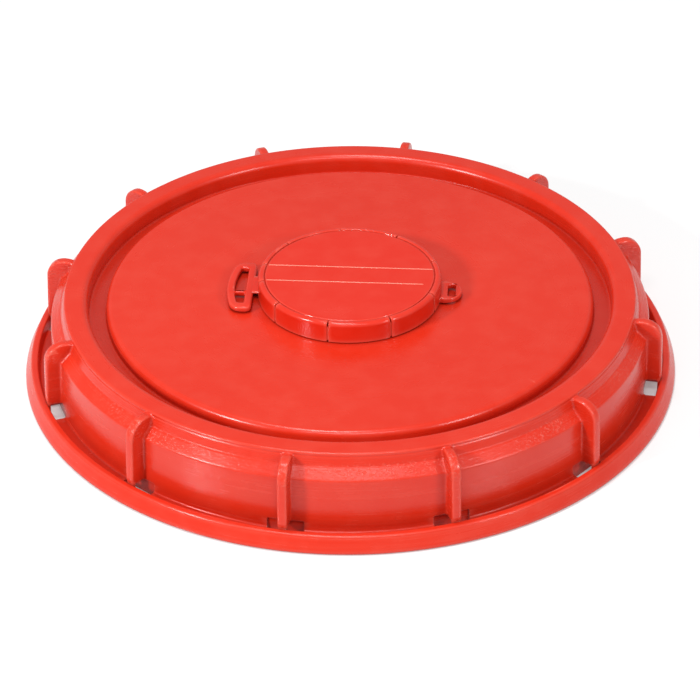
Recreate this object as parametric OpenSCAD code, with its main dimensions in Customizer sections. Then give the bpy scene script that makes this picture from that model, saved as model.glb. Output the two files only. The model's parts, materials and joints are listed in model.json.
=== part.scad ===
// Screw lid for an intermediate bulk container, with a central two-inch vent plug.
// The underside of the brim lies on z = 0 and the lid's axis is the z axis.

/* [Lid] */
// Outer diameter of the brim at its foot
brim_d = 280; // [278:1:284]
// Height of the flat top of the rim
rim_h = 36.4; // [36:0.1:37]
// Height of the deck inside the rim
deck_h = 33.65; // [33.5:0.05:34]
// Thickness of the moulded walls
wall = 2.8; // [2.5:0.1:3]
// Number of grip ribs round the skirt
ribs = 12; // [8:1:16]
// Thickness of a grip rib
rib_t = 4; // [3:0.5:5]
// Angle from +X to the first grip rib
rib_phase = 18.1; // [0:0.1:30]

/* [Neck thread] */
// Major diameter of the coarse neck thread
neck_d = 245; // [244:0.5:245]
// Pitch of the neck thread
neck_pitch = 6; // [5:0.5:6]
// Number of turns of the neck thread
neck_turns = 2.7; // [2:0.1:2.8]

/* [Vent plug] */
// Diameter of the threaded bore in the centre of the lid
bore_d = 59.8; // [59.7:0.1:60]
// Pitch of the plug thread
plug_pitch = 2.309; // [2:0.001:2.4]
// Number of turns of the plug thread
plug_turns = 5.2; // [4:0.1:5.4]

/* [Overcap] */
// Outer diameter of the overcap at its foot
cap_d = 78.4; // [78:0.1:79]
// Height of the overcap's top above the brim's underside
cap_top = 43.3; // [43.2:0.1:44]
// Width of the slits between the overcap's clip fingers
slit_w = 0.8; // [0.5:0.1:1.2]
// Angle by which the overcap is turned about the lid's axis
cap_turn = -4; // [-10:1:10]

/* [Hidden] */
$fn = 96;

red = [0.93, 0.24, 0.16];
black = [0.08, 0.08, 0.09];
steel = [0.75, 0.76, 0.78];
white = [0.93, 0.93, 0.9];
grey = [0.55, 0.57, 0.6];

// Brim: a flat channel floor with a raised lip round it
brim_r = brim_d / 2;
floor_h = 3;                      // top of the channel floor
lip_h = 7.1;                      // top of the lip
lip_out = brim_r - 3.4;           // outer edge of the lip's top
lip_in = brim_r - 5.6;            // inner edge of the lip's top
floor_out = brim_r - 6.6;         // where the floor meets the lip

// Skirt: a steep lower band, a sloping shoulder, and a narrow upper band
skirt_foot = brim_r - 11.3;       // radius where the skirt meets the floor
skirt_top = brim_r - 12.3;        // top of the lower band
shoulder_h = 26.4;                // where the rounding of the shoulder starts
shoulder_round = 1.2;
band_foot = brim_r - 16.7;        // upper band, just above the shoulder
band_h = 31.3;
band_top = brim_r - 17.8;         // upper band, just under the rim
root_r = neck_d / 2 + 0.3;        // root of the female neck thread
root_top = 25.4;                  // where the threaded part of the skirt ends

// Rim, groove and deck
rim_out = brim_r - 18.9;
rim_in = brim_r - 25.3;           // start of the rim's inner rounding
rim_round = 3;
groove_out = rim_in - rim_round;
groove_in = 103.9;
groove_h = 27.8;                  // floor of the groove
groove_fillet = 0.8;
deck_round = 2.6;
channel_in = groove_out + 2.5;    // annular channel that the neck's lip enters
channel_out = neck_d / 2 - 2.7;
channel_h = rim_h - wall - 0.2;
gasket_h = 2.6;                   // thickness of the neck gasket
gasket_in = channel_in + 1.4;
gasket_foot = channel_h - gasket_h;

// Threaded boss under the deck
bore_r = bore_d / 2;
boss_r = bore_r + 3.6;
boss_foot = 12;
deck_under = deck_h - wall;

// Grip ribs and the windows under them
rib_foot_r = lip_in + 0.8;        // outer edge of a rib where it lands on the lip
rib_r = lip_in - 0.2;             // outer edge of a rib at its upper corner
rib_top = rim_h - 0.8;
rib_corner = 8;
window_w = 15;
window_h = 7.2;
window_in = skirt_foot - 1;

// Vent plug
plug_r = bore_r - 1.6;            // barrel under the thread
plug_in = plug_r - 3;
flange_r = 37.3;
gasket_t = 1.5;
flange_foot = deck_h + gasket_t;
flange_top = flange_foot + 2.3;
collar_r = 31;
plug_top = 39.4;
plug_foot = 13;
plug_floor = 18.4;                // underside of the plug's floor
floor_t = 2.6;
port_r = 9;
seat_r = 11.5;
plug_deck = plug_floor + floor_t;

// Relief valve
seal_t = 0.8;
poppet_r = 12.4;
poppet_t = 1.8;
poppet_foot = plug_deck + seal_t;
poppet_top = poppet_foot + poppet_t;
stem_r = 4.4;
stem_bore = 3;
stem_top = 32.6;
bridge_foot = 30.8;
bridge_t = 2;
spring_r = 6.3;                   // mean radius of the pressure spring
spring_wire = 0.45;
vac_r = 7;
vac_t = 1.4;
vac_seal_t = 0.6;
vac_stem_r = 1.7;
vac_top = 38.4;
vac_spring_r = 2.9;
vac_spring_wire = 0.35;
clip_t = 0.9;
clip_foot = vac_top - clip_t - 0.5;

// Posts in the plug that carry the bridge
posts = 3;
post_at = 20.6;
post_r = 2.6;
screw_r = 1.2;
screw_deep = 6;
membrane_h = plug_foot + 2.6;     // the membrane lies between the baffle and a ledge
membrane_t = 0.3;

// Overcap
cap_r = cap_d / 2;
cap_wall = 1.3;
cap_foot = deck_h + 0.3;
disc_r = 36.2;                    // edge of the flat disc on top
disc_drop = 0.15;
cap_round = 1.6;
disc_t = 1.2;
ridge_y = 6;                      // two fine ridges, either side of the middle
ridge_w = 0.7;
ridge_h = 0.12;
slit_angles = [20, 60, 100, 140, 169.5, -20, -60, -100, -140, -169.5];

// Pull tab and seal eye
tab_top = 36.9;
tab_t = 2.6;
tab_x = -40.8;                    // hinge line of the tab
tab_out = 52.4;
tab_slot_out = 49.1;
tab_slot_in = -44.3;
tab_low = -18.6;                  // ends of the tab along its hinge line
tab_high = 17.6;
web_t = 1;
eye_x = 40.8;
eye_r = 7.1;

// Points along an arc from angle a0 to a1, in n steps
function arc(x, y, r, a0, a1, n = 6) =
    [for (i = [0:n]) let (a = a0 + (a1 - a0) * i / n) [x + r * cos(a), y + r * sin(a)]];

// A helical ridge: a trapezium of width base at root and width tip at crest,
// swept up by pitch each turn, its crest easing in and out over the end_steps
module helical_ridge(root, crest, base, tip, pitch, turns, z0, steps, end_steps) {
    n = round(turns * steps);
    ease = [for (i = [0:n]) min(1, (i + 0.6) / end_steps, (n - i + 0.6) / end_steps)];
    points = [for (i = [0:n])
        let (a = 360 * i / steps, z = z0 + pitch * i / steps, c = root + (crest - root) * ease[i])
        each [
            [root * cos(a), root * sin(a), z - base / 2],
            [c * cos(a), c * sin(a), z - tip / 2],
            [c * cos(a), c * sin(a), z + tip / 2],
            [root * cos(a), root * sin(a), z + base / 2]
        ]];
    outward = crest > root;
    sides = [for (i = [0:n - 1], k = [0:3])
        let (a = 4 * i + k, b = 4 * i + (k + 1) % 4)
        outward ? [a, a + 4, b + 4, b] : [b, b + 4, a + 4, a]];
    foot = outward ? [[0, 1, 2, 3]] : [[3, 2, 1, 0]];
    head = outward ? [[4 * n + 3, 4 * n + 2, 4 * n + 1, 4 * n]]
                   : [[4 * n, 4 * n + 1, 4 * n + 2, 4 * n + 3]];
    polyhedron(points, concat(sides, foot, head), convexity = 10);
}

// A coil spring of round wire between two heights, with closed end turns
module coil_spring(coil, wire, z0, z1, turns, steps = 20, sides = 8) {
    n = round(turns * steps);
    rise = z1 - z0 - 2 * wire;
    points = [for (i = [0:n])
        let (t = i / n, a = 360 * i / steps,
             s = min(1, max(0, (t * turns - 0.75) / (turns - 1.5))),
             z = z0 + wire + rise * s)
        for (k = [0:sides - 1])
            let (b = 360 * k / sides, r = coil + wire * cos(b))
            [r * cos(a), r * sin(a), z + wire * sin(b)]];
    skin = [for (i = [0:n - 1], k = [0:sides - 1])
        let (a = i * sides + k, b = i * sides + (k + 1) % sides)
        [a, a + sides, b + sides, b]];
    foot = [[for (k = [0:sides - 1]) k]];
    head = [[for (k = [0:sides - 1]) n * sides + sides - 1 - k]];
    polyhedron(points, concat(skin, foot, head), convexity = 10);
}

module grip_rib() {
    rotate([90, 0, 0])
        linear_extrude(rib_t, center = true)
            polygon(concat(
                [[skirt_foot - 3, window_h - 0.7], [rib_foot_r, window_h - 0.7]],
                arc(rib_r - rib_corner, rib_top - rib_corner, rib_corner, 0, 90, 8),
                [[band_top - 1, rib_top]]));
}

// A window through the channel floor and a pocket in the skirt, under a rib
module rib_window() {
    depth = floor_out - window_in;
    translate([window_in, -window_w / 2, -1])
        cube([depth, window_w, window_h + 1]);
}

module lid_body() {
    color(red) difference() {
        union() {
            rotate_extrude() polygon(concat(
                [[root_r + 1, 0], [brim_r, 0]],
                arc(lip_out, lip_h - 0.9, 0.9, 20, 90, 4),
                arc(lip_in + 0.6, lip_h - 0.6, 0.6, 90, 180, 3),
                [[floor_out, floor_h], [skirt_foot, floor_h]],
                arc(skirt_top - shoulder_round, shoulder_h, shoulder_round, 0, 45, 3),
                [[band_foot, band_h]],
                [[band_top, rim_h - 1.2]],
                arc(rim_out - 0.3, rim_h - 1.2, 1.2, 0, 90, 4),
                arc(rim_in, rim_h - rim_round, rim_round, 90, 180, 8),
                arc(groove_out - groove_fillet, groove_h + groove_fillet, groove_fillet, 0, -90, 3),
                arc(groove_in + groove_fillet, groove_h + groove_fillet, groove_fillet, 270, 180, 3),
                arc(groove_in - deck_round, deck_h - deck_round, deck_round, 0, 90, 8),
                [[bore_r + 0.8, deck_h], [bore_r, deck_h - 0.8]],
                [[bore_r, boss_foot], [boss_r, boss_foot], [boss_r, deck_under]],
                [[groove_in - wall, deck_under], [groove_in - wall, groove_h - wall]],
                [[channel_in, groove_h - wall], [channel_in, channel_h]],
                [[channel_out, channel_h], [channel_out, root_top + 1]],
                [[root_r, root_top], [root_r, 1]]));
            for (i = [0:ribs - 1])
                rotate(rib_phase + i * 360 / ribs) grip_rib();
            deck_stiffeners();
        }
        for (i = [0:ribs - 1])
            rotate(rib_phase + i * 360 / ribs) rib_window();
    }
}

// Radial stiffening ribs under the deck, from the boss to the deck's outer wall
module deck_stiffeners() {
    count = 8;
    thick = 2;
    deep = 5;
    for (i = [0:count - 1])
        rotate(22.5 + i * 360 / count)
            translate([boss_r - 1, -thick / 2, deck_under - deep])
                cube([groove_in - wall - boss_r + 1.5, thick, deep + 1]);
}

module neck_thread() {
    color(red)
        helical_ridge(root_r + 0.2, root_r - 2.4, 4.2, 1.6, neck_pitch, neck_turns, 4.8, 72, 6);
}

module neck_gasket() {
    color(black) rotate_extrude()
        translate([gasket_in, gasket_foot])
            square([channel_out - gasket_in - 0.3, gasket_h]);
}

module plug_gasket() {
    color(black) rotate_extrude()
        translate([bore_r + 1.2, deck_h]) square([flange_r - bore_r - 1.8, gasket_t]);
}

module plug_body() {
    lugs = 4;
    color(red) union() {
        rotate_extrude() difference() {
            polygon([
                [port_r, plug_floor], [plug_in - 1.5, plug_floor],
                [plug_in - 1.5, membrane_h + membrane_t],
                [plug_in, membrane_h + membrane_t], [plug_in, plug_foot],
                [plug_r - 0.6, plug_foot], [plug_r, plug_foot + 0.6],
                [plug_r, flange_foot], [flange_r, flange_foot],
                [flange_r, flange_top - 0.8], [flange_r - 0.8, flange_top],
                [collar_r, flange_top], [collar_r, plug_top - 0.6],
                [collar_r - 0.6, plug_top], [plug_in, plug_top],
                [plug_in, plug_deck], [port_r, plug_deck]]);
            // rebate that holds the seat ring
            translate([0, plug_deck - 1.5]) square([seat_r, 2]);
        }
        for (i = [0:posts - 1])
            rotate(i * 360 / posts) translate([post_at, 0, plug_deck - 0.5]) difference() {
                cylinder(h = bridge_foot - plug_deck + 0.5, r = post_r);
                translate([0, 0, bridge_foot - screw_deep - plug_deck + 0.5])
                    cylinder(h = screw_deep + 1, r = screw_r);
            }
        // lugs inside the collar for the plug wrench
        for (i = [0:lugs - 1])
            rotate(45 + i * 360 / lugs)
                translate([plug_in - 2.4, -3, bridge_foot + bridge_t + 1])
                    cube([3, 6, plug_top - bridge_foot - bridge_t - 1.6]);
    }
}

module plug_thread() {
    color(red)
        helical_ridge(plug_r - 0.1, plug_r + 1.2, 1.9, 0.6, plug_pitch, plug_turns,
            plug_foot + 2.6, 48, 6);
}

module seat_ring() {
    color(steel) rotate_extrude()
        translate([port_r, plug_deck - 1.5]) square([seat_r - port_r, 1.5]);
}

module valve_bridge() {
    guide_r = stem_r + 2.4;
    color(white) translate([0, 0, bridge_foot]) linear_extrude(bridge_t) difference() {
        union() {
            circle(guide_r);
            for (i = [0:posts - 1]) rotate(i * 360 / posts) {
                translate([0, -2.4]) square([post_at, 4.8]);
                translate([post_at, 0]) circle(post_r + 0.4);
            }
        }
        circle(stem_r + 0.08);
        for (i = [0:posts - 1])
            rotate(i * 360 / posts) translate([post_at, 0]) circle(screw_r + 0.1);
    }
}

module bridge_screws() {
    color(steel)
        for (i = [0:posts - 1])
            rotate(i * 360 / posts) translate([post_at, 0, bridge_foot + bridge_t])
                difference() {
                    union() {
                        cylinder(h = 1.4, r = 2.1);
                        translate([0, 0, 0.4 - bridge_t - screw_deep])
                            cylinder(h = bridge_t + screw_deep, r = screw_r);
                    }
                    translate([-0.4, -3, 0.7]) cube([0.8, 6, 1]);
                }
}

module pressure_spring() {
    color(steel)
        coil_spring(spring_r, spring_wire, poppet_top + 0.02, bridge_foot - 0.02, 4);
}

module breather_membrane() {
    color(white) translate([0, 0, membrane_h])
        cylinder(h = membrane_t, r = plug_in - 0.2);
}

module splash_baffle() {
    holes = 6;
    color(white) difference() {
        union() {
            translate([0, 0, plug_foot]) cylinder(h = 1.6, r = plug_in - 0.05);
            rotate_extrude()
                translate([plug_in - 2, plug_foot + 1.5]) square([1.8, membrane_h - plug_foot - 1.5]);
        }
        for (i = [0:holes - 1])
            rotate(i * 360 / holes) translate([14, 0, plug_foot - 1])
                cylinder(h = 4, r = 4);
    }
}

module pressure_poppet() {
    guide = vac_stem_r + 0.08;
    color(grey) difference() {
        rotate_extrude() polygon([
            [stem_bore, poppet_foot], [poppet_r - 0.4, poppet_foot],
            [poppet_r, poppet_foot + 0.4], [poppet_r, poppet_top - 0.4],
            [poppet_r - 0.4, poppet_top], [stem_r, poppet_top], [stem_r, stem_top],
            [guide, stem_top], [guide, stem_top - 2], [stem_bore, stem_top - 2]]);
        // air holes through the hollow stem
        translate([0, 0, poppet_top + 2.6]) rotate([0, 90, 30])
            cylinder(h = 3 * stem_r, r = 1, center = true);
    }
}

module poppet_seal() {
    color(black) rotate_extrude()
        translate([port_r + 0.4, plug_deck]) square([poppet_r - port_r - 1, seal_t]);
}

// Sits in the port, below the pressure poppet, and opens downwards
module vacuum_poppet() {
    disc_top = poppet_foot - vac_seal_t;
    color(grey) rotate_extrude() polygon([
        [0, disc_top - vac_t], [vac_r - 0.4, disc_top - vac_t], [vac_r, disc_top - vac_t + 0.4],
        [vac_r, disc_top], [vac_stem_r, disc_top], [vac_stem_r, vac_top - 0.4],
        [vac_stem_r - 0.4, vac_top], [0, vac_top]]);
}

module vacuum_seal() {
    color(black) rotate_extrude()
        translate([stem_bore + 0.5, poppet_foot - vac_seal_t])
            square([vac_r - stem_bore - 0.9, vac_seal_t]);
}

module vacuum_spring() {
    color(steel)
        coil_spring(vac_spring_r, vac_spring_wire, stem_top + 0.02, clip_foot - 0.02, 4, 20, 6);
}

module stem_clip() {
    color(steel) translate([0, 0, clip_foot]) difference() {
        cylinder(h = clip_t, r = 3.9);
        translate([0, 0, -1]) cylinder(h = clip_t + 2, r = vac_stem_r);
    }
}

module overcap_shell() {
    shoulder = cap_r - 0.15;
    rotate_extrude() polygon(concat(
        [[0, cap_top - disc_t], [cap_r - cap_wall - 0.6, cap_top - disc_t]],
        [[cap_r - cap_wall, cap_top - disc_t - 0.6], [cap_r - cap_wall, cap_foot + 1.2]],
        [[flange_r + 0.2, cap_foot + 0.8], [flange_r + 0.2, cap_foot], [cap_r, cap_foot]],
        arc(shoulder - cap_round, cap_top - cap_round, cap_round, 0, 90, 6),
        [[disc_r + 0.25, cap_top], [disc_r, cap_top - 0.4], [disc_r - 0.25, cap_top - disc_drop]],
        [[0, cap_top - disc_drop]]));
}

module seal_eye() {
    slot_w = 3.2;
    slot_l = 9.2;
    translate([0, 0, tab_top - tab_t]) linear_extrude(tab_t) difference() {
        intersection() {
            translate([eye_x, 0]) circle(eye_r);
            translate([cap_r - 0.7, -eye_r]) square([eye_r * 2, eye_r * 2]);
        }
        translate([eye_x + 1.1, -slot_l / 2]) square([slot_w, slot_l]);
    }
}

// Two fine ridges across the disc; the nearer one stops short at its +X end
module disc_ridges() {
    reach = sqrt(disc_r * disc_r - ridge_y * ridge_y) - 0.4;
    base = cap_top - disc_drop - 0.05;
    translate([-reach, ridge_y - ridge_w / 2, base])
        cube([2 * reach, ridge_w, ridge_h + 0.05]);
    translate([-reach, -ridge_y - ridge_w / 2, base])
        cube([2 * reach - 3.4, ridge_w, ridge_h + 0.05]);
}

module overcap() {
    web_low = -6.2;
    web_high = 7;
    color(red) rotate(cap_turn) union() {
        difference() {
            overcap_shell();
            for (a = slit_angles)
                rotate(a) translate([disc_r + 0.2, -slit_w / 2, cap_foot - 1])
                    cube([5, slit_w, cap_top - cap_foot + 2]);
        }
        disc_ridges();
        seal_eye();
        // web between the clip finger at -X and the pull tab
        translate([tab_x, web_low, tab_top - web_t])
            cube([-tab_x - cap_r + 0.9, web_high - web_low, web_t]);
    }
}

module tab_outline() {
    intersection() {
        circle(tab_out);
        translate([-60, tab_low]) square([60 + tab_x, tab_high - tab_low]);
    }
}

module tab_slots() {
    offset(1.2, $fn = 24) offset(-1.2) intersection() {
        circle(tab_slot_out);
        translate([-60, -4.6]) square([60 + tab_slot_in, 17.8]);
    }
    offset(1.2, $fn = 24) offset(-1.2) intersection() {
        circle(tab_slot_out);
        translate([-60, -14.1]) square([60 + tab_slot_in, 8]);
    }
}

module pull_tab() {
    color(red) rotate(cap_turn) translate([0, 0, tab_top - tab_t])
        linear_extrude(tab_t) difference() {
            offset(2.6, $fn = 48) offset(-2.6) tab_outline();
            tab_slots();
        }
}

lid_body();
neck_thread();
neck_gasket();
plug_gasket();
plug_body();
plug_thread();
seat_ring();
valve_bridge();
bridge_screws();
pressure_spring();
breather_membrane();
splash_baffle();
pressure_poppet();
poppet_seal();
vacuum_spring();
vacuum_poppet();
vacuum_seal();
stem_clip();
overcap();
pull_tab();
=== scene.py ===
import json
import math

import bmesh
import bpy
import numpy as np
from mathutils import Matrix, Quaternion, Vector
from mathutils.geometry import tessellate_polygon


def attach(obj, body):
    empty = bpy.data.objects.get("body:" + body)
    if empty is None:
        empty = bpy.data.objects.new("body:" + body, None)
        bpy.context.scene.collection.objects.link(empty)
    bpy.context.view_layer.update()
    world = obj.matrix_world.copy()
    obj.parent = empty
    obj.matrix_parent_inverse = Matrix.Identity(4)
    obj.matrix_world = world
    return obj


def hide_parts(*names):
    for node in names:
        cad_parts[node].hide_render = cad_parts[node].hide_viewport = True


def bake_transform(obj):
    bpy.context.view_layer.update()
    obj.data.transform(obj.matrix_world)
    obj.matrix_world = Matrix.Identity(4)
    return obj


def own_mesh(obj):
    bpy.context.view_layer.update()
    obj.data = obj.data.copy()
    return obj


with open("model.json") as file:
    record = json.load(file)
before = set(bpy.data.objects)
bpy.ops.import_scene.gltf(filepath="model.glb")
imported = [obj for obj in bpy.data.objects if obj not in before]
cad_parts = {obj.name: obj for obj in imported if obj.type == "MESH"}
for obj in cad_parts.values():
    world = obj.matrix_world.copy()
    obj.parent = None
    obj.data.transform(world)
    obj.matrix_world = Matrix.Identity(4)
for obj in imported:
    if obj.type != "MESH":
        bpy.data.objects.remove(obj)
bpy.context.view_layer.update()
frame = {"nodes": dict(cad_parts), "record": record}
NODES = frame["nodes"]
MM = 0.001

# ---------------------------------------------------------------- helpers


def arc(cx, cz, r, a0, a1, n=6):
    """Points on a circle from angle a0 to a1, both ends included."""
    return [(cx + r * math.cos(math.radians(a0 + (a1 - a0) * i / n)),
             cz + r * math.sin(math.radians(a0 + (a1 - a0) * i / n))) for i in range(n + 1)]


def line(p, q, n, ends=True):
    """n steps from p to q, without the last point unless ends."""
    return [(p[0] + (q[0] - p[0]) * i / n, p[1] + (q[1] - p[1]) * i / n)
            for i in range(n + (1 if ends else 0))]


def smooth(t):
    """0 below 0 and 1 above 1, with an eased step between."""
    t = np.clip(t, 0.0, 1.0)
    return t * t * (3 - 2 * t)


def new_object(name, verts_mm, faces, angle=32):
    """A mesh object from points in millimetres, shaded smooth with its sharp edges kept."""
    mesh = bpy.data.meshes.new(name)
    mesh.from_pydata([tuple(float(c) * MM for c in v) for v in verts_mm], [], faces)
    mesh.validate()
    obj = bpy.data.objects.new(name, mesh)
    bpy.context.scene.collection.objects.link(obj)
    shade(obj, angle)
    return obj


def shade(obj, angle=32):
    """Smooth shading, with edges sharper than the angle in degrees kept."""
    mesh = obj.data
    mesh.shade_smooth()
    mesh.set_sharp_from_angle(angle=math.radians(angle))


def outward(obj):
    """Turns a closed mesh's faces outward."""
    bm = bmesh.new()
    bm.from_mesh(obj.data)
    bmesh.ops.recalc_face_normals(bm, faces=bm.faces)
    if bm.calc_volume(signed=True) < 0:
        bmesh.ops.reverse_faces(bm, faces=bm.faces)
    bm.to_mesh(obj.data)
    bm.free()
    return obj


def lathe(name, profile, steps=256, a0=0.0, a1=360.0, angle=32):
    """A closed outline in (r, z), turned about the z axis. Points with r = 0 become one vertex."""
    full = abs(a1 - a0) > 359.99
    cols = steps if full else steps + 1
    verts, index = [], []
    for r, z in profile:
        if r < 1e-6:
            index.append([len(verts)] * cols)
            verts.append((0, 0, z))
            continue
        row = []
        for j in range(cols):
            a = math.radians(a0 + (a1 - a0) * j / steps)
            row.append(len(verts))
            verts.append((r * math.cos(a), r * math.sin(a), z))
        index.append(row)
    faces = []
    n = len(profile)
    for i in range(n):
        k = (i + 1) % n
        for j in range(steps):
            m = (j + 1) % cols
            quad = [index[i][j], index[i][m], index[k][m], index[k][j]]
            quad = [v for q, v in enumerate(quad) if v not in quad[:q]]
            if len(quad) > 2:
                faces.append(quad)
    if not full:
        faces.append([index[i][0] for i in range(n)])
        faces.append([index[i][-1] for i in reversed(range(n))])
    obj = new_object(name, verts, faces, angle)
    return outward(obj)


def swept(name, rows, angle=32):
    """A closed skin over rows of points in millimetres, each row a closed outline."""
    m = len(rows[0])
    verts = [v for row in rows for v in row]
    faces = [(i * m + j, (i + 1) * m + j, (i + 1) * m + (j + 1) % m, i * m + (j + 1) % m)
             for i in range(len(rows) - 1) for j in range(m)]
    faces.append(tuple(range(m)))
    faces.append(tuple((len(rows) - 1) * m + j for j in reversed(range(m))))
    return outward(new_object(name, verts, faces, angle))


def bake(obj):
    """Applies the object's modifiers."""
    bpy.context.view_layer.update()
    deps = bpy.context.evaluated_depsgraph_get()
    mesh = bpy.data.meshes.new_from_object(obj.evaluated_get(deps))
    obj.modifiers.clear()
    old = obj.data
    obj.data = mesh
    bpy.data.meshes.remove(old)
    return obj


def bevel(obj, width, segments=2, angle=40):
    """Rounds the edges sharper than the angle, by a width in millimetres."""
    mod = obj.modifiers.new("bevel", "BEVEL")
    mod.width = width * MM
    mod.segments = segments
    mod.limit_method = "ANGLE"
    mod.angle_limit = math.radians(angle)
    mod.harden_normals = False
    mod.use_clamp_overlap = True
    return bake(obj)


def boolean(obj, tools, operation="DIFFERENCE"):
    """Cuts or joins with closed meshes, then removes them."""
    for tool in tools:
        mod = obj.modifiers.new("bool", "BOOLEAN")
        mod.operation = operation
        mod.solver = "MANIFOLD"
        mod.object = tool
        bake(obj)
        bpy.data.objects.remove(tool)
    return obj


def join(name, parts):
    """Joins several objects into one mesh object."""
    bm = bmesh.new()
    for part in parts:
        part.data.transform(part.matrix_world)
        bm.from_mesh(part.data)
        bpy.data.objects.remove(part)
    mesh = bpy.data.meshes.new(name)
    bm.to_mesh(mesh)
    bm.free()
    obj = bpy.data.objects.new(name, mesh)
    bpy.context.scene.collection.objects.link(obj)
    return obj


def soften(points, cuts):
    """Rounds chosen corners of a closed polyline: cuts maps a point's index to a trim length."""
    pts = [Vector(p) for p in points]
    n = len(pts)

    def walk(i, step, length):
        """The point that lies length along the polyline from point i, and the points passed."""
        here, left, passed = pts[i], length, []
        while True:
            i = (i + step) % n
            gap = (pts[i] - here).length
            if gap >= left:
                return here + (pts[i] - here) * (left / gap), passed
            left -= gap
            here = pts[i]
            passed.append(i)

    dropped, corner = set(), {}
    for i, cut in cuts.items():
        back, before = walk(i, -1, cut)
        ahead, after = walk(i, 1, cut)
        dropped |= set(before) | set(after)
        corner[i] = [back * (1 - t) ** 2 + pts[i] * 2 * t * (1 - t) + ahead * t ** 2
                     for t in (k / 6 for k in range(7))]
    out = []
    for i in range(n):
        if i in corner:
            out += corner[i]
        elif i not in dropped:
            out.append(pts[i])
    return [(p.x, p.y) for p in out]


def tidy_loop(points, turn):
    """A closed outline without doubled points, wound anticlockwise (turn 1) or clockwise (-1)."""
    pts = [p for i, p in enumerate(points) if math.dist(p, points[i - 1]) > 0.04]
    area = sum(p[0] * q[1] - q[0] * p[1] for p, q in zip(pts, pts[1:] + pts[:1]))
    return pts if area * turn > 0 else pts[::-1]


def inset(points, depth):
    """Moves each point of an outline into the material, which lies to its left."""
    out = []
    n = len(points)
    for i, p in enumerate(points):
        a, b = Vector(points[i - 1]), Vector(points[(i + 1) % n])
        d0, d1 = (Vector(p) - a).normalized(), (b - Vector(p)).normalized()
        mid = (d0 + d1).normalized()
        reach = depth / max(0.5, mid.dot(d0))
        out.append((p[0] - mid.y * reach, p[1] + mid.x * reach))
    return out


def flat_piece(name, outer, holes, z0, z1, edge, crown=5):
    """A plate between two heights from flat outlines in millimetres, its edges rounded."""
    loops = [tidy_loop(outer, 1)] + [tidy_loop(h, -1) for h in holes]
    levels = []
    for i in range(crown + 1):
        a = math.pi / 2 * i / crown
        levels.append((edge * (1 - math.sin(a)), z0 + edge * (1 - math.cos(a))))
    levels += [(d, z0 + z1 - z) for d, z in reversed(levels)]
    verts, faces, caps = [], [], [[], []]
    for loop in loops:
        rows = []
        for d, z in levels:
            rows.append(range(len(verts), len(verts) + len(loop)))
            verts += [(x, y, z) for x, y in inset(loop, d)]
        n = len(loop)
        for low, high in zip(rows, rows[1:]):
            faces += [(low[j], low[(j + 1) % n], high[(j + 1) % n], high[j]) for j in range(n)]
        for cap, row in zip(caps, (rows[0], rows[-1])):
            cap.append(list(row))
    for cap in caps:
        flat = [index for row in cap for index in row]
        rings = [[Vector(verts[index]) for index in row] for row in cap]
        faces += [tuple(flat[i] for i in tri) for tri in tessellate_polygon(rings)]
    return outward(new_object(name, verts, faces, 35))


def turned(obj, degrees):
    """Turns a mesh about the z axis."""
    obj.data.transform(Matrix.Rotation(math.radians(degrees), 4, "Z"))
    return obj


# ---------------------------------------------------------------- materials


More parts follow.
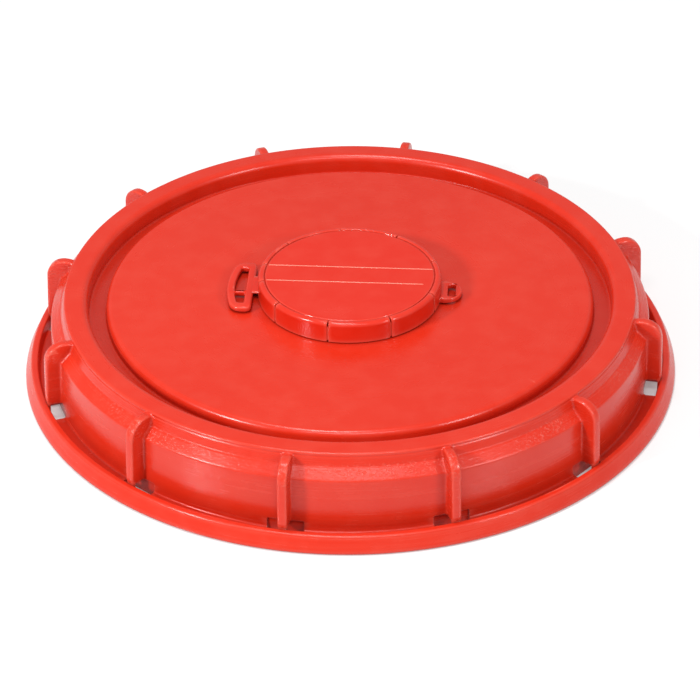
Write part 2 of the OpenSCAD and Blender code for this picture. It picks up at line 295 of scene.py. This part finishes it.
class Graph:
    """A small wrapper that builds a Principled material's node tree."""

    def __init__(self, name):
        self.material = bpy.data.materials.new(name)
        self.material.use_nodes = True
        self.tree = self.material.node_tree
        self.tree.nodes.clear()
        self.out = self.tree.nodes.new("ShaderNodeOutputMaterial")
        self.bsdf = self.tree.nodes.new("ShaderNodeBsdfPrincipled")
        self.tree.links.new(self.bsdf.outputs[0], self.out.inputs[0])
        self.coord = self.tree.nodes.new("ShaderNodeTexCoord").outputs["Object"]

    def link(self, a, b):
        self.tree.links.new(a, b)

    def put(self, socket, value):
        if isinstance(value, bpy.types.NodeSocket):
            self.link(value, socket)
        else:
            socket.default_value = value

    def math(self, op, a, b=None):
        node = self.tree.nodes.new("ShaderNodeMath")
        node.operation = op
        for socket, value in zip(node.inputs, (a, b)):
            if value is not None:
                self.put(socket, value)
        return node.outputs[0]

    def noise(self, scale, detail=3.0, rough=0.5, vector=None):
        node = self.tree.nodes.new("ShaderNodeTexNoise")
        self.link(vector if vector is not None else self.coord, node.inputs["Vector"])
        node.inputs["Scale"].default_value = scale
        node.inputs["Detail"].default_value = detail
        node.inputs["Roughness"].default_value = rough
        return node.outputs["Fac"]

    def stretch(self, x=1.0, y=1.0, z=1.0, vector=None):
        node = self.tree.nodes.new("ShaderNodeMapping")
        node.inputs["Scale"].default_value = (x, y, z)
        self.link(vector if vector is not None else self.coord, node.inputs["Vector"])
        return node.outputs[0]

    def span(self, value, lo, hi, to_lo, to_hi):
        node = self.tree.nodes.new("ShaderNodeMapRange")
        node.clamp = True
        for key, v in (("Value", value), ("From Min", lo), ("From Max", hi),
                       ("To Min", to_lo), ("To Max", to_hi)):
            self.put(node.inputs[key], v)
        return node.outputs[0]

    def mix(self, fac, a, b):
        node = self.tree.nodes.new("ShaderNodeMix")
        node.data_type = "RGBA"
        self.put(node.inputs["Factor"], fac)
        self.put(node.inputs[6], a)
        self.put(node.inputs[7], b)
        return node.outputs[2]

    def round_coord(self):
        """Coordinates round the z axis: arc length at r = 0.12, radius and height, in metres."""
        parts = self.tree.nodes.new("ShaderNodeSeparateXYZ")
        self.link(self.coord, parts.inputs[0])
        x, y, z = parts.outputs
        angle = self.math("MULTIPLY", self.math("ARCTAN2", y, x), 0.12)
        squares = self.math("ADD", self.math("POWER", x, 2.0), self.math("POWER", y, 2.0))
        radius = self.math("SQRT", squares)
        joined = self.tree.nodes.new("ShaderNodeCombineXYZ")
        for i, v in enumerate((angle, radius, z)):
            self.link(v, joined.inputs[i])
        return joined.outputs[0]

    def bump(self, height, distance, strength=1.0, normal=None):
        node = self.tree.nodes.new("ShaderNodeBump")
        node.inputs["Distance"].default_value = distance
        node.inputs["Strength"].default_value = strength
        self.link(height, node.inputs["Height"])
        if normal is not None:
            self.link(normal, node.inputs["Normal"])
        return node.outputs[0]

    def edges(self, radius):
        """0 on flats and 1 along tight edges and rounded ridges, with the rounded normal. The mask
        lightens colour along edges, which on the red plastic is a painted highlight.
        """
        node = self.tree.nodes.new("ShaderNodeBevel")
        node.samples = 4
        node.inputs["Radius"].default_value = radius
        geo = self.tree.nodes.new("ShaderNodeNewGeometry")
        dot = self.tree.nodes.new("ShaderNodeVectorMath")
        dot.operation = "DOT_PRODUCT"
        self.link(node.outputs[0], dot.inputs[0])
        self.link(geo.outputs["Normal"], dot.inputs[1])
        lighter_edge = self.span(dot.outputs["Value"], 0.995, 0.8, 0.0, 1.0)
        bent = geo.outputs["Pointiness"]
        lighter_edge = self.math("MULTIPLY", lighter_edge, self.span(bent, 0.49, 0.51, 0.0, 1.0))
        return self.math("MAXIMUM", lighter_edge, self.span(bent, 0.51, 0.56, 0.0, 1.0)), node.outputs[0]

    def occlusion_shade(self, distance):
        """1 in the open and lower in grooves and corners: the mask for painted shade."""
        node = self.tree.nodes.new("ShaderNodeAmbientOcclusion")
        node.samples = 6
        node.inputs["Distance"].default_value = distance
        return node.outputs["AO"]


def red_plastic(name, body, deep, pale, rough, grain, moulded=False):
    """Satin moulded plastic: soft colour drift, paler edges as a painted highlight, painted shade
    in grooves and corners, flow lines with a faint painted sheen, and fine grain.
    """
    g = Graph(name)
    around = g.round_coord()
    drift = g.noise(11.0, 3.0)
    mottle = g.noise(90.0, 3.0, 0.5)
    streak = g.noise(1.0, 4.0, 0.6, vector=g.stretch(9.0, 60.0, 380.0, vector=around))
    fine = g.noise(1500.0, 3.0, 0.6)
    pores = g.noise(520.0, 2.0, 0.5)
    edge, soft = g.edges(0.0006)
    colour = g.mix(g.span(drift, 0.3, 0.7, 0.0, 1.0), body, deep)
    colour = g.mix(g.span(mottle, 0.4, 0.8, 0.0, 0.05), colour, pale)
    # painted highlight: edges and rounded ridges pulled toward the pale colour
    colour = g.mix(g.math("MULTIPLY", edge, 0.22), colour, pale)
    # painted shade: a darker copy of the body colour laid into grooves and corners, deep on the
    # lid and light on the cap
    shaded = (body[0] * 0.62, body[1] * 0.45, body[2] * 0.45, 1.0)
    depth = 0.75 if moulded else 0.2
    colour = g.mix(g.span(g.occlusion_shade(0.007), 0.2, 0.85, depth, 0.0), colour, shaded)
    r = g.math("ADD", g.span(mottle, 0.3, 0.7, rough - 0.015, rough + 0.015),
               g.span(streak, 0.35, 0.7, -0.05, 0.07))
    n = g.bump(pores, 0.00010, grain, normal=soft)
    n = g.bump(fine, 0.00003, grain, normal=n)
    if moulded:
        # pitted shoulder, and drawn flow lines on the skirt below it, glossier and tinted pale as
        # a painted sheen
        parts = g.tree.nodes.new("ShaderNodeSeparateXYZ")
        g.link(around, parts.inputs[0])
        outside = g.span(parts.outputs[1], 0.1228, 0.1233, 0.0, 1.0)
        above = g.span(parts.outputs[2], 0.0268, 0.0276, 0.0, 1.0)
        shoulder = g.math("MULTIPLY", outside, above)
        skirt = g.math("MULTIPLY", outside, g.math("SUBTRACT", 1.0, above))
        patch = g.span(g.noise(30.0, 2.0), 0.42, 0.6, 0.2, 1.0)
        pits = g.span(g.noise(1000.0, 2.0, 0.6), 0.52, 0.66, 0.0, 1.0)
        pits = g.math("MULTIPLY", g.math("MULTIPLY", pits, shoulder), patch)
        colour = g.mix(g.math("MULTIPLY", pits, 0.16), colour, pale)
        flow_line_sheen = g.math("MULTIPLY", g.span(streak, 0.48, 0.72, 0.0, 1.0), skirt)
        # painted sheen: the flow lines pulled toward the pale colour
        colour = g.mix(g.math("MULTIPLY", flow_line_sheen, 0.04), colour, pale)
        r = g.math("SUBTRACT", r, g.math("MULTIPLY", flow_line_sheen, 0.05))
        n = g.bump(pits, 0.00012, 0.8, normal=n)
    g.link(colour, g.bsdf.inputs["Base Color"])
    r = g.math("SUBTRACT", r, g.math("MULTIPLY", edge, 0.12))
    g.link(r, g.bsdf.inputs["Roughness"])
    g.link(n, g.bsdf.inputs["Normal"])
    g.bsdf.inputs["IOR"].default_value = 1.5
    g.bsdf.inputs["Specular IOR Level"].default_value = 0.36
    return g.material


def dull(name, base, other, rough, scale, depth, metal=0.0, spread=0.08, drawn=False):
    """A plain material with colour drift, roughness change, paler edges and surface grain."""
    g = Graph(name)
    vector = g.stretch(1.0, 1.0, 9.0) if drawn else g.coord
    big = g.noise(60.0, 3.0)
    grain = g.noise(scale, 4.0, 0.6, vector=vector)
    edge, soft = g.edges(0.0003)
    colour = g.mix(g.span(big, 0.35, 0.65, 0.0, 1.0), base, other)
    lift = tuple(min(1.0, c * 1.5 + 0.02) for c in base[:3]) + (1.0,)
    # edges and ridges lighter
    colour = g.mix(g.math("MULTIPLY", edge, 0.4), colour, lift)
    g.link(colour, g.bsdf.inputs["Base Color"])
    g.link(g.span(grain, 0.3, 0.7, rough - spread, rough + spread), g.bsdf.inputs["Roughness"])
    g.link(g.bump(grain, depth, 1.0, normal=soft), g.bsdf.inputs["Normal"])
    g.bsdf.inputs["Metallic"].default_value = metal
    return g.material


LID_RED = red_plastic("lid_red", (0.585, 0.024, 0.008, 1), (0.56, 0.020, 0.006, 1),
                      (0.86, 0.24, 0.17, 1), 0.26, 0.35, moulded=True)
CAP_RED = red_plastic("cap_red", (0.60, 0.018, 0.005, 1), (0.58, 0.016, 0.004, 1),
                      (0.86, 0.24, 0.17, 1), 0.21, 0.10)
# painted highlight: the fine ridges get a lighter red than the cap they stand on, for the light
# along their tops
RIDGE_HIGHLIGHT_RED = red_plastic("ridge_highlight_red", (0.86, 0.17, 0.11, 1), (0.82, 0.13, 0.08, 1),
                        (0.95, 0.40, 0.32, 1), 0.28, 0.12)
RUBBER = dull("seal_rubber", (0.018, 0.018, 0.02, 1), (0.03, 0.03, 0.032, 1),
              0.55, 900.0, 0.00003)
NATURAL = dull("natural_plastic", (0.78, 0.77, 0.70, 1), (0.70, 0.69, 0.62, 1),
               0.42, 700.0, 0.00002)
GREY = dull("grey_plastic", (0.20, 0.22, 0.25, 1), (0.16, 0.18, 0.20, 1), 0.4, 700.0, 0.00002)
STEEL = dull("stainless", (0.62, 0.62, 0.63, 1), (0.52, 0.52, 0.54, 1), 0.26, 900.0, 0.00001,
             metal=1.0, drawn=True)
FILM = dull("membrane", (0.86, 0.86, 0.84, 1), (0.78, 0.78, 0.76, 1), 0.8, 1600.0, 0.00005)

SLOT_MATERIALS = {"lid_plastic": LID_RED, "cap_plastic": CAP_RED, "seal_rubber": RUBBER,
                  "natural_plastic": NATURAL, "grey_plastic": GREY, "stainless": STEEL,
                  "membrane": FILM}
for part in frame["record"]["subparts"]:
    cad = NODES[part["node"]]
    cad.data.materials.clear()
    cad.data.materials.append(SLOT_MATERIALS[part["material_slot"]])


def dress(obj, slot, body, *nodes):
    """Gives a new piece its material and body, and lets it stand for CAD nodes."""
    obj.data.materials.clear()
    obj.data.materials.append(SLOT_MATERIALS[slot])
    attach(obj, body)
    if nodes:
        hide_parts(*nodes)
    return obj


# ---------------------------------------------------------------- lid shell

RIBS = 12
RIB_PHASE = 18.1
RIB_HALF = 2.0                    # half of a rib's thickness
NOSE = 0.8                        # rounding of a rib's outer edges
FOOT = 0.9                        # fillet between rib and skirt
SKIRT_FOOT = (128.6, 3.0)
RIM_EDGE = (121.95, 35.35)
RIB_START = (134.5, 6.75)         # where a rib's outer edge leaves the lip

# outline up the outside, from the brim's foot to the rib's start on the lip
lip = (arc(139.4, 0.6, 0.6, -90, 10, 4) + line((139.85, 1.4), (137.6, 6.2), 5)
       + arc(136.5, 6.05, 1.05, 10, 90, 5) + line((136.0, 7.1), (135.2, 7.1), 2)
       + arc(135.05, 6.45, 0.65, 90, 165, 4))
channel = (line((134.35, 6.3), (133.75, 3.7), 5) + arc(133.15, 3.6, 0.6, -10, -90, 4)
           + line((132.9, 3.0), (129.9, 3.0), 5) + arc(129.55, 3.9, 0.9, -90, -172, 4))
skirt_low = line((128.58, 5.2), (127.74, 26.2), 20)
step = (arc(126.7, 26.5, 1.0, 3, 45, 4) + line((126.9, 27.7), (123.7, 30.9), 7)
        + arc(124.0, 31.6, 0.8, 228, 190, 3))
skirt_high = line((123.05, 32.0), (122.3, 34.1), 6)
rim_edge = (arc(121.75, 34.35, 0.5, 5, 60, 3) + [(121.86, 35.05)]
            + arc(121.0, 35.45, 0.92, 5, 90, 6))

outer_rows = lip + channel + skirt_low + step + skirt_high + rim_edge
inner_rows = (line((120.4, 36.4), (115.4, 36.4), 4) + arc(114.7, 33.4, 3.0, 90, 180, 12)
              + line((111.7, 32.4), (111.7, 29.3), 3) + arc(110.9, 28.6, 0.8, 0, -90, 5)
              + line((110.2, 27.8), (105.4, 27.8), 4) + arc(104.7, 28.6, 0.8, 270, 180, 5)
              + line((103.9, 29.2), (103.9, 30.6), 2) + arc(101.3, 31.05, 2.6, 0, 90, 12)
              + line((100.5, 33.65), (31.6, 33.65), 22) + arc(31.1, 33.05, 0.6, 90, 180, 3)
              + line((29.9, 32.2), (29.9, 12.6), 6) + [(30.3, 12.0), (33.2, 12.0), (33.5, 12.3)]
              + line((33.5, 14.0), (33.5, 29.4), 4) + arc(34.7, 29.65, 1.2, 180, 90, 4)
              + line((36.5, 30.85), (99.5, 30.85), 12) + arc(99.9, 29.65, 1.2, 90, 0, 4)
              + line((101.1, 28.9), (101.1, 25.6), 3)
              + [(101.5, 25.0), (104.0, 25.0), (108.0, 25.0)]
              + [(112.0, 25.0), (113.8, 25.0), (114.2, 25.4)]
              + line((114.2, 26.5), (114.2, 33.2), 6)
              + [(114.4, 33.4), (119.6, 33.4), (119.8, 33.2)]
              + line((119.8, 32.0), (119.8, 27.0), 3)
              + [(120.0, 26.4), (122.5, 25.5), (122.8, 25.1)]
              + line((122.8, 23.5), (122.8, 1.4), 10) + [(123.1, 0.7), (123.8, 0.0)]
              + line((125.5, 0.0), (138.6, 0.0), 6))


def crest_path(t):
    """The rib's outer edge: up from the lip, round the corner, in along the top to the rim."""
    corner, top, side, lean = 8.0, 35.6, 134.2, 0.8
    lengths = [top - corner - RIB_START[1], corner * math.pi / 2, side - corner - RIM_EDGE[0]]
    s = t * sum(lengths)
    if s < lengths[0]:
        out = lean * (1 - s / lengths[0]) - (side + lean - RIB_START[0]) * (1 - smooth(s / 2.5))
        return (side + out, RIB_START[1] + s), (1.0, 0.0)
    s -= lengths[0]
    if s < lengths[1]:
        a = s / corner
        return ((side - corner + corner * math.cos(a), top - corner + corner * math.sin(a)),
                (math.cos(a), math.sin(a)))
    s -= lengths[1]
    return (side - corner - s, top - 0.25 * smooth(s / lengths[2])), (0.0, 1.0)


first_rib_row = len(lip)
foot_row = len(lip) + len(channel)
last_rib_row = len(outer_rows) - len(rim_edge) + 6    # a little way up the rim's edge

# distance along the skirt, for pairing each skirt row with a point on the rib's edge
skirt_pts = outer_rows[foot_row:last_rib_row + 1]
run = [0.0]
for p, q in zip(skirt_pts, skirt_pts[1:]):
    run.append(run[-1] + math.dist(p, q))

# columns: tangential offsets on the fin's half section, from its centre plane outwards
NOSE_N, WALL_N, FOOT_N, APRON_N, BAY_N = 4, 4, 4, 2, 15
flat_y = np.concatenate([np.linspace(0.35, RIB_HALF, NOSE_N + 1 + WALL_N),
                         np.linspace(RIB_HALF + 0.25, RIB_HALF + FOOT, FOOT_N),
                         np.array([RIB_HALF + FOOT + 0.8, RIB_HALF + FOOT + 2.0])])
SKIRT_R = 128.0                   # turns a tangential offset into an angle
bay_from = math.degrees((RIB_HALF + FOOT + 3.4) / SKIRT_R)
bay_angles = np.linspace(bay_from, 360.0 / RIBS - bay_from, BAY_N)


def rib_section(p, row):
    """Half section of a rib at one row: (r, y, z) from the crest's middle out to the apron."""
    if row < first_rib_row or row > last_rib_row:
        crest, out = p, (1.0, 0.0)
    elif row < foot_row:
        crest, out = RIB_START, (1.0, 0.0)
    else:
        share = run[row - foot_row] / run[-1]
        # the lower skirt pairs with the upright edge, the shoulder with the corner and top
        t = 0.52 * share / 0.64 if share < 0.64 else 0.52 + 0.48 * (share - 0.64) / 0.36
        crest, out = crest_path(t)
    reach = math.dist(p, crest)
    k = float(smooth(reach / 2.2))
    nose = min(NOSE, 0.4 * reach)
    foot = min(FOOT, 0.35 * reach)
    inner = (crest[0] - out[0] * nose, crest[1] - out[1] * nose)
    wall_len = max(1e-6, math.dist(p, inner))
    e = ((inner[0] - p[0]) / wall_len, (inner[1] - p[1]) / wall_len)
    pts = []
    for i in range(NOSE_N + 1):
        a = math.pi / 2 * (1 - i / NOSE_N)
        y = (RIB_HALF - NOSE) + NOSE * math.cos(a)
        pts.append((inner[0] + out[0] * nose * math.sin(a), y,
                    inner[1] + out[1] * nose * math.sin(a)))
    for i in range(1, WALL_N + 1):
        s = wall_len + (foot - wall_len) * i / WALL_N
        pts.append((p[0] + e[0] * s, RIB_HALF, p[1] + e[1] * s))
    for i in range(1, FOOT_N + 1):
        a = math.pi / 2 * (1 - i / FOOT_N)
        pts.append((p[0] + e[0] * foot * (1 - math.cos(a)), RIB_HALF + foot * (1 - math.sin(a)),
                    p[1] + e[1] * foot * (1 - math.cos(a))))
    for y in flat_y[-APRON_N:]:
        pts.append((p[0], float(y), p[1]))
    out_pts = []
    for (r, y, z), fy in zip(pts, flat_y):
        out_pts.append((p[0] + (r - p[0]) * k, fy + (y - fy) * k, p[1] + (z - p[1]) * k))
    return out_pts, k


def ring_row(p, row):
    """One closed row of points round the lid."""
    section, k = rib_section(p, row)
    pts = []
    for i in range(RIBS):
        mid = math.radians(RIB_PHASE + 360.0 * i / RIBS)
        local = [(r, -y, z) for r, y, z in reversed(section)]
        local += [(section[0][0], 0.0, section[0][2])] + list(section)
        for r, y, z in local:
            if k > 0:
                base = min(p[0], r)
                x = math.sqrt(max(base * base - y * y, 0.0)) + (r - base)
                a = math.atan2(y, x)
                d = math.hypot(x, y)
            else:
                a, d = y / SKIRT_R, r
            pts.append((d * math.cos(mid + a), d * math.sin(mid + a), z))
        for a in bay_angles:
            m = mid + math.radians(a)
            pts.append((p[0] * math.cos(m), p[0] * math.sin(m), p[1]))
    return pts


def lid_shell():
    rows = outer_rows + inner_rows
    verts, faces = [], []
    for i, p in enumerate(rows):
        verts += ring_row(p, i)
    cols = len(verts) // len(rows)
    n = len(rows)
    for i in range(n):
        k = (i + 1) % n
        for j in range(cols):
            m = (j + 1) % cols
            faces.append((i * cols + j, i * cols + m, k * cols + m, k * cols + j))
    return outward(new_object("lid_shell", verts, faces, 30))


def window_cutter(angle):
    """A block with rounded upper corners, for the opening under one rib."""
    outline = soften([(-7.5, -1.0), (7.5, -1.0), (7.5, 7.2), (-7.5, 7.2)], {2: 0.6, 3: 0.6})
    inner, outer = 127.6, 133.4
    rows = [[(x, y, z) for y, z in outline] for x in (inner, outer)]
    return turned(swept("cutter", rows), angle)


def stiffener(angle):
    """A rib under the deck with a drafted section and rounded lower edges."""
    inner, outer, top, low = 32.6, 101.6, 31.2, 25.85
    outline = [(-1.3, top), (-0.95, low + 0.5), (-0.5, low),
               (0.5, low), (0.95, low + 0.5), (1.3, top)]
    rows = [[(x, y, z) for y, z in outline] for x in (inner, outer)]
    return turned(swept("stiffener", rows), angle)


shell = lid_shell()
boolean(shell, [window_cutter(RIB_PHASE + 30 * i) for i in range(RIBS)])
STIFFENERS = 8
boolean(shell, [stiffener(22.5 + 45 * i) for i in range(STIFFENERS)], "UNION")
shade(shell, 30)
dress(shell, "lid_plastic", "lid", "lid_body")


def thread(name, root, crest, base, tip, pitch, turns, z0, steps, ease):
    """A helical ridge with a rounded crest that fades in and out at its ends."""
    n = int(round(turns * steps))
    section = [(0.0, -0.5 * base), (0.55, -0.5 * (base * 0.45 + tip * 0.55)), (0.85, -0.5 * tip),
               (1.0, -0.25 * tip), (1.0, 0.25 * tip), (0.85, 0.5 * tip),
               (0.55, 0.5 * (base * 0.45 + tip * 0.55)), (0.0, 0.5 * base)]
    rows = []
    for i in range(n + 1):
        a = 2 * math.pi * i / steps
        z = z0 + pitch * i / steps
        k = min(1.0, (i + 0.6) / ease, (n - i + 0.6) / ease)
        radii = [root + (crest - root) * u * k for u, w in section]
        rows.append([(r * math.cos(a), r * math.sin(a), z + w)
                     for r, (u, w) in zip(radii, section)])
    return swept(name, rows, 40)


dress(thread("neck_thread_ridge", 123.0, 120.4, 4.2, 1.6, 6.0, 2.7, 4.8, 160, 13),
      "lid_plastic", "lid", "neck_thread")

# ---------------------------------------------------------------- springs


def coil(name, radius, wire, z0, z1, turns):
    """A coil spring of round wire between two heights, in millimetres, with closed end turns."""
    steps, sides = 28, 10
    count = turns * steps
    rise = z1 - z0 - 2 * wire
    rows = []
    for i in range(count + 1):
        # the first and last three quarters of a turn lie flat
        share = min(1.0, max(0.0, (i / steps - 0.75) / (turns - 1.5)))
        a = 2 * math.pi * i / steps
        row = []
        for k in range(sides):
            b = 2 * math.pi * k / sides
            r = radius + wire * math.cos(b)
            z = z0 + wire + rise * share + wire * math.sin(b)
            row.append((r * math.cos(a), r * math.sin(a), z))
        rows.append(row)
    return swept(name, rows, 60)


BRIDGE_FOOT = 30.8                # the pressure spring's fixed end
STEM_TOP = 32.6                   # the vacuum spring's fixed end
GAP = 0.02                        # between a coil's ends and what it bears on

spring = coil("pressure_coil", 6.3, 0.45, 23.6 + GAP, BRIDGE_FOOT - GAP, 4)
dress(spring, "stainless", "vent_plug", "pressure_spring")
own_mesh(spring)
spring = coil("vacuum_coil", 2.9, 0.35, STEM_TOP + GAP, 37.0 - GAP, 4)
dress(spring, "stainless", "pressure_valve", "vacuum_spring")
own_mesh(spring)

# ---------------------------------------------------------------- overcap

CAP_TURN = -4.0
SLITS = [20, 60, 100, 140, 169.5, 190.5, 220, 260, 300, 340]
SLIT_HALF = 0.32

ring_profile = ([(37.9, 34.9), (37.55, 34.5), (37.55, 34.15), (37.8, 33.96)]
                + [(38.9, 33.96), (39.17, 34.2)] + line((39.17, 35.5), (39.05, 41.4), 3)
                + arc(37.4, 41.62, 1.65, 0, 90, 8) + arc(36.85, 42.92, 0.35, 90, 180, 3)
                + [(36.5, 42.3), (36.5, 41.3), (37.2, 41.2), (37.9, 40.4)])
disc_profile = ([(0.0, 43.14)] + line((6.0, 43.14), (35.2, 43.14), 6)
                + arc(35.6, 42.74, 0.4, 90, 0, 3)
                + [(36.0, 42.5), (36.7, 42.45), (36.9, 42.2), (36.9, 41.7), (36.4, 41.5)]
                + [(20.0, 41.5), (0.0, 41.5)])
# a thin ring behind the slits, which stops the eye in them
web_profile = [(37.75, 34.6), (38.8, 34.6), (38.72, 41.0), (37.75, 41.0)]

parts = [lathe("disc", disc_profile, 192, angle=35), lathe("slit_web", web_profile, 144)]
for a, b in zip(SLITS, SLITS[1:] + [SLITS[0] + 360]):
    gap = math.degrees(SLIT_HALF / 38.0)
    steps = max(6, int(round((b - a) / 2.5)))
    parts.append(bevel(lathe("finger", ring_profile, steps, a + gap, b - gap), 0.22, 2, 50))
overcap_shell = join("overcap_shell", parts)
shade(overcap_shell, 32)
turned(overcap_shell, CAP_TURN)
dress(overcap_shell, "cap_plastic", "overcap", "overcap")


def fine_ridge(name, y, x0, x1):
    """A hair-fine raised line with a rounded back and tapered ends."""
    base = 43.05
    outline = [(0.36, base), (0.3, 43.2), (0.12, 43.28),
               (-0.12, 43.28), (-0.3, 43.2), (-0.36, base)]
    xs = [x0, x0 + 0.6] + list(np.linspace(x0 + 4, x1 - 4, 6)) + [x1 - 0.6, x1]
    rows = []
    for i, x in enumerate(xs):
        k = 0.3 if i in (0, len(xs) - 1) else 1.0
        rows.append([(x, y + w * k, base + (z - base) * k) for w, z in outline])
    return swept(name, rows, 60)


ridges = join("disc_ridges", [fine_ridge("r1", 6.0, -35.3, 35.3),
                              fine_ridge("r2", -6.0, -35.3, 31.9)])
shade(ridges, 60)
dress(turned(ridges, CAP_TURN), "cap_plastic", "overcap")
# painted highlight: the lighter red on the ridges
ridges.data.materials[0] = RIDGE_HIGHLIGHT_RED

eye_arc = [(40.8 + 7.1 * math.cos(math.radians(a)), 7.1 * math.sin(math.radians(a)))
           for a in np.linspace(-106, 106, 29)]
eye_outline = soften([(38.3, -7.0)] + eye_arc + [(38.3, 7.0)], {})
eye_hole = soften([(41.9, -4.6), (45.1, -4.6), (45.1, 4.6), (41.9, 4.6)],
                  {i: 1.5 for i in range(4)})
eye = flat_piece("seal_eye", eye_outline, [eye_hole], 34.3, 36.9, 0.8)
dress(turned(eye, CAP_TURN), "cap_plastic", "overcap")

# ---------------------------------------------------------------- pull tab


def disc_x(r, y):
    return -math.sqrt(r * r - y * y)


def arc_side(r, y0, y1, n):
    return [(disc_x(r, y), y) for y in np.linspace(y0, y1, n)]


loop = arc_side(52.4, 17.6, -18.6, 30) + [(-40.85, -18.6), (-40.85, 17.6)]
loop = soften(loop, {0: 4.2, 29: 4.4, 30: 3.2, 31: 3.4})
upper = arc_side(49.1, 13.2, -4.6, 16) + [(-44.3, -4.6), (-44.3, 13.2)]
upper = soften(upper, {0: 0.6, 15: 1.1, 16: 1.1, 17: 0.6})
lower = arc_side(49.1, -6.1, -14.1, 8) + [(-44.3, -14.1), (-44.3, -6.1)]
lower = soften(lower, {0: 1.1, 7: 1.0, 8: 1.0, 9: 1.1})
tab = flat_piece("tab_loop", loop, [upper, lower], 34.3, 36.9, 0.95)
dress(turned(tab, CAP_TURN), "cap_plastic", "pull_tab", "pull_tab")


def tab_web():
    """The thin web that joins the tab to the cap."""
    xs = np.linspace(-38.4, -42.0, 15)
    y0, y1, z0, z1, e = -6.2, 7.0, 35.9, 36.85, 0.25
    outline = (line((y0 + e, z0), (y1 - e, z0), 8) + [(y1, z0 + e), (y1, z1 - e)]
               + line((y1 - e, z1), (y0 + e, z1), 8) + [(y0, z1 - e), (y0, z0 + e)])
    return swept("tab_web", [[(x, y, z) for y, z in outline] for x in xs], 50)


web = turned(tab_web(), CAP_TURN)
web.data.materials.append(CAP_RED)
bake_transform(web)

# ---------------------------------------------------------------- stage, light and camera

FLOOR_HALF, FLOOR_Z = 6, -0.0005  # metres
floor_mesh = bpy.data.meshes.new("floor")
floor_mesh.from_pydata([(x * FLOOR_HALF, y * FLOOR_HALF, FLOOR_Z)
                        for x, y in ((-1, -1), (1, -1), (1, 1), (-1, 1))], [], [(0, 1, 2, 3)])
floor = bpy.data.objects.new("floor", floor_mesh)
bpy.context.scene.collection.objects.link(floor)
g = Graph("floor_white")
g.link(g.span(g.noise(3.0), 0.3, 0.7, 0.18, 0.24), g.bsdf.inputs["Roughness"])
g.bsdf.inputs["Base Color"].default_value = (0.68, 0.68, 0.68, 1)
g.bsdf.inputs["Specular IOR Level"].default_value = 0.5
g.bsdf.inputs["Emission Color"].default_value = (1.0, 1.0, 1.0, 1)
g.bsdf.inputs["Emission Strength"].default_value = 0.22
floor.data.materials.append(g.material)

world = bpy.data.worlds.new("studio")
bpy.context.scene.world = world
world.use_nodes = True
world.node_tree.nodes["Background"].inputs[0].default_value = (1, 1, 1, 1)
world.node_tree.nodes["Background"].inputs[1].default_value = 0.47


def softbox(name, place, aim, size, power):
    """A white rectangular lamp, size in metres and power in watts, that faces the aim point."""
    data = bpy.data.lights.new(name, "AREA")
    data.shape = "RECTANGLE"
    data.size, data.size_y = size
    data.energy = power
    obj = bpy.data.objects.new(name, data)
    bpy.context.scene.collection.objects.link(obj)
    obj.location = place
    obj.rotation_euler = (Vector(aim) - Vector(place)).to_track_quat("-Z", "Y").to_euler()


softbox("overhead", (-0.15, 0.0, 1.4), (0, 0, 0), (0.45, 0.35), 8)
softbox("front", (0.0, -1.0, 1.5), (0, 0, 0.02), (0.9, 0.10), 8)
softbox("left", (-0.92, -0.65, 0.65), (0, 0, 0.02), (0.15, 0.15), 10.5)
softbox("right", (0.86, -0.72, 0.65), (0, 0, 0.02), (0.22, 0.22), 5)

camera_data = bpy.data.cameras.new("camera")
camera = bpy.data.objects.new("camera", camera_data)
bpy.context.scene.collection.objects.link(camera)
camera_data.sensor_width = 36.0
camera_data.lens = 162.1
camera_data.clip_start = 0.05
camera_data.clip_end = 20.0
camera.location = (0.0, -1.1345, 0.7592)
look = Vector((-0.00013, 0.0, 0.0046)) - camera.location
camera.rotation_mode = "QUATERNION"
roll = Quaternion((0, 0, 1), math.radians(-0.52))
camera.rotation_quaternion = look.to_track_quat("-Z", "Y") @ roll
bpy.context.scene.camera = camera
bpy.context.scene.view_settings.view_transform = "Standard"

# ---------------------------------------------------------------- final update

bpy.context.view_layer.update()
